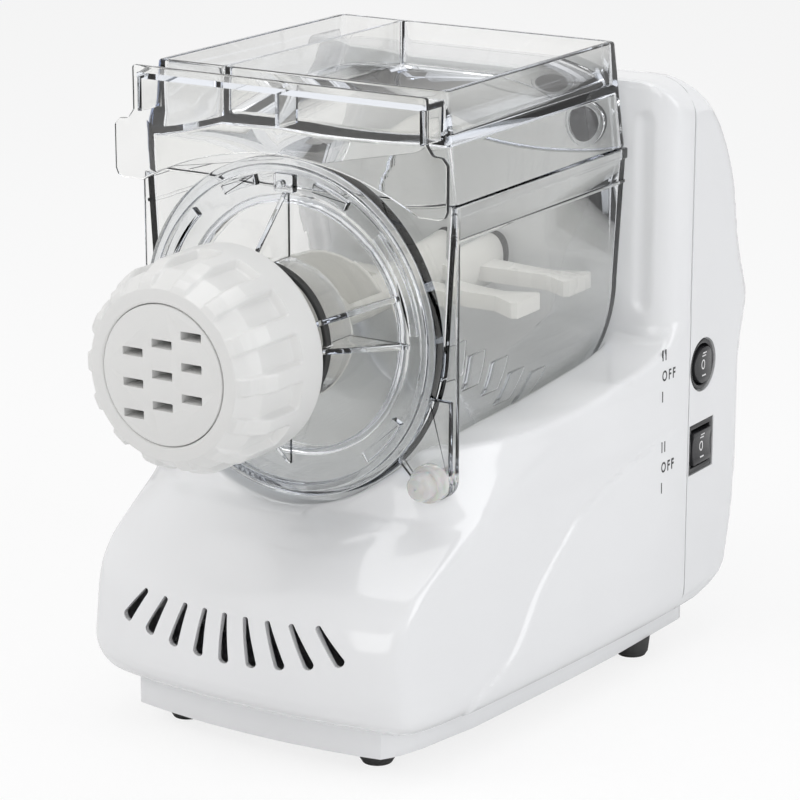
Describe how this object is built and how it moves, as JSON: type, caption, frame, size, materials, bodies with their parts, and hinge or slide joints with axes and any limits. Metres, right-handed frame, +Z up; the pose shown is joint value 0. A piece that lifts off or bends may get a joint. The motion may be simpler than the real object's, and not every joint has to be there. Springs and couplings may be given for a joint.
{
  "type": "electric pasta maker",
  "caption": "Electric pasta maker: clear hopper on a white geared drive housing, with lid, kneading screw, front panel, retaining ring and die.",
  "frame": {"origin": "on the surface that the feet stand on, at the middle of the outline's box in X and Y", "axes": "+Z up, the die faces -Y, the switches are on the +X side"},
  "size_m": [0.2047, 0.3329, 0.29],
  "materials": {
    "housing": "glossy white moulding",
    "rubber_black": "matt black rubber",
    "steel": "ground steel",
    "bronze": "sintered bronze",
    "lamination": "laminated iron, varnished",
    "cast_alloy": "die-cast alloy",
    "switch_black": "glossy black plastic",
    "fan_black": "moulded black plastic",
    "gear_nylon": "natural nylon",
    "clear_plastic": "clear polycarbonate",
    "white_plastic": "satin white plastic",
    "knob_plastic": "milky translucent plastic"
  },
  "bodies": {
    "housing": {"main_housing": "housing", "rear_cover": "housing", "base_plate": "housing", "rubber_feet": "rubber_black", "base_screws": "steel", "cover_screws": "steel", "cord_gland": "rubber_black", "gearbox_plate": "steel", "gearbox_back_plate": "steel", "gearbox_posts": "steel", "gearbox_bushes": "bronze", "shaft_seal": "rubber_black", "motor_stator": "lamination", "motor_end_bells": "cast_alloy", "run_capacitor": "cast_alloy", "reed_switch": "switch_black", "round_switch_case": "switch_black", "square_switch_case": "switch_black"},
    "hopper": {"hopper": "clear_plastic"},
    "lid": {"lid": "clear_plastic", "lid_magnet": "switch_black"},
    "panel": {"front_panel": "clear_plastic", "tube_seal_ring": "rubber_black"},
    "die": {"die": "white_plastic"},
    "ring": {"retaining_ring": "white_plastic"},
    "left_thumb_screw": {"left_thumb_screw": "knob_plastic"},
    "right_thumb_screw": {"right_thumb_screw": "knob_plastic"},
    "screw": {"kneading_screw": "white_plastic"},
    "spindle": {"drive_spindle": "steel", "output_gear": "gear_nylon"},
    "layshaft": {"lay_shaft": "steel", "lay_gear": "gear_nylon", "lay_pinion": "steel"},
    "rotor": {"motor_rotor": "lamination", "motor_pinion": "steel", "cooling_fan": "fan_black"},
    "round_rocker": {"round_rocker": "switch_black"},
    "square_rocker": {"square_rocker": "switch_black"}
  },
  "joints": [
    {"name": "hopper_slide", "type": "slide", "parent": "housing", "child": "hopper", "axis": [0, -1, 0], "range_m": [0, 0.05]},
    {"name": "lid_lift", "type": "slide", "parent": "hopper", "child": "lid", "axis": [0, 0, 1], "range_m": [0, 0.09]},
    {"name": "panel_slide", "type": "slide", "parent": "hopper", "child": "panel", "axis": [0, -1, 0], "range_m": [0, 0.09]},
    {"name": "die_travel", "type": "slide", "parent": "panel", "child": "die", "axis": [0, -1, 0], "range_m": [0, 0.01]},
    {"name": "ring_turn", "type": "hinge", "parent": "die", "child": "ring", "pos_m": [0, -0.14, 0.183], "axis": [0, -1, 0], "range_deg": [0, 720]},
    {"name": "left_thumb_screw_turn", "type": "hinge", "parent": "panel", "child": "left_thumb_screw", "pos_m": [-0.071, -0.0703, 0.126], "axis": [0, -1, 0], "range_deg": [0, 720]},
    {"name": "right_thumb_screw_turn", "type": "hinge", "parent": "panel", "child": "right_thumb_screw", "pos_m": [0.071, -0.0703, 0.126], "axis": [0, -1, 0], "range_deg": [0, 720]},
    {"name": "spindle_spin", "type": "hinge", "parent": "housing", "child": "spindle", "pos_m": [0, 0.09, 0.183], "axis": [0, 1, 0], "continuous": true},
    {"name": "screw_spin", "type": "hinge", "parent": "hopper", "child": "screw", "pos_m": [0, 0.06, 0.183], "axis": [0, 1, 0], "continuous": true},
    {"name": "layshaft_spin", "type": "hinge", "parent": "housing", "child": "layshaft", "pos_m": [0, 0.1, 0.116], "axis": [0, 1, 0], "continuous": true},
    {"name": "rotor_spin", "type": "hinge", "parent": "housing", "child": "rotor", "pos_m": [0, 0.05, 0.062], "axis": [0, 1, 0], "continuous": true},
    {"name": "round_rocker_tilt", "type": "hinge", "parent": "housing", "child": "round_rocker", "pos_m": [0.0959, 0.112, 0.138], "axis": [0, 1, 0], "range_deg": [-10, 10]},
    {"name": "square_rocker_tilt", "type": "hinge", "parent": "housing", "child": "square_rocker", "pos_m": [0.0959, 0.112, 0.099], "axis": [0, 1, 0], "range_deg": [-10, 10]}
  ],
  "couplings": [
    {"joint": "die_travel", "follows": "ring_turn", "m_per_rad": 0.00079577},
    {"joint": "screw_spin", "follows": "spindle_spin", "ratio": 1},
    {"joint": "layshaft_spin", "follows": "spindle_spin", "ratio": -2.9412},
    {"joint": "rotor_spin", "follows": "spindle_spin", "ratio": 11.176}
  ]
}
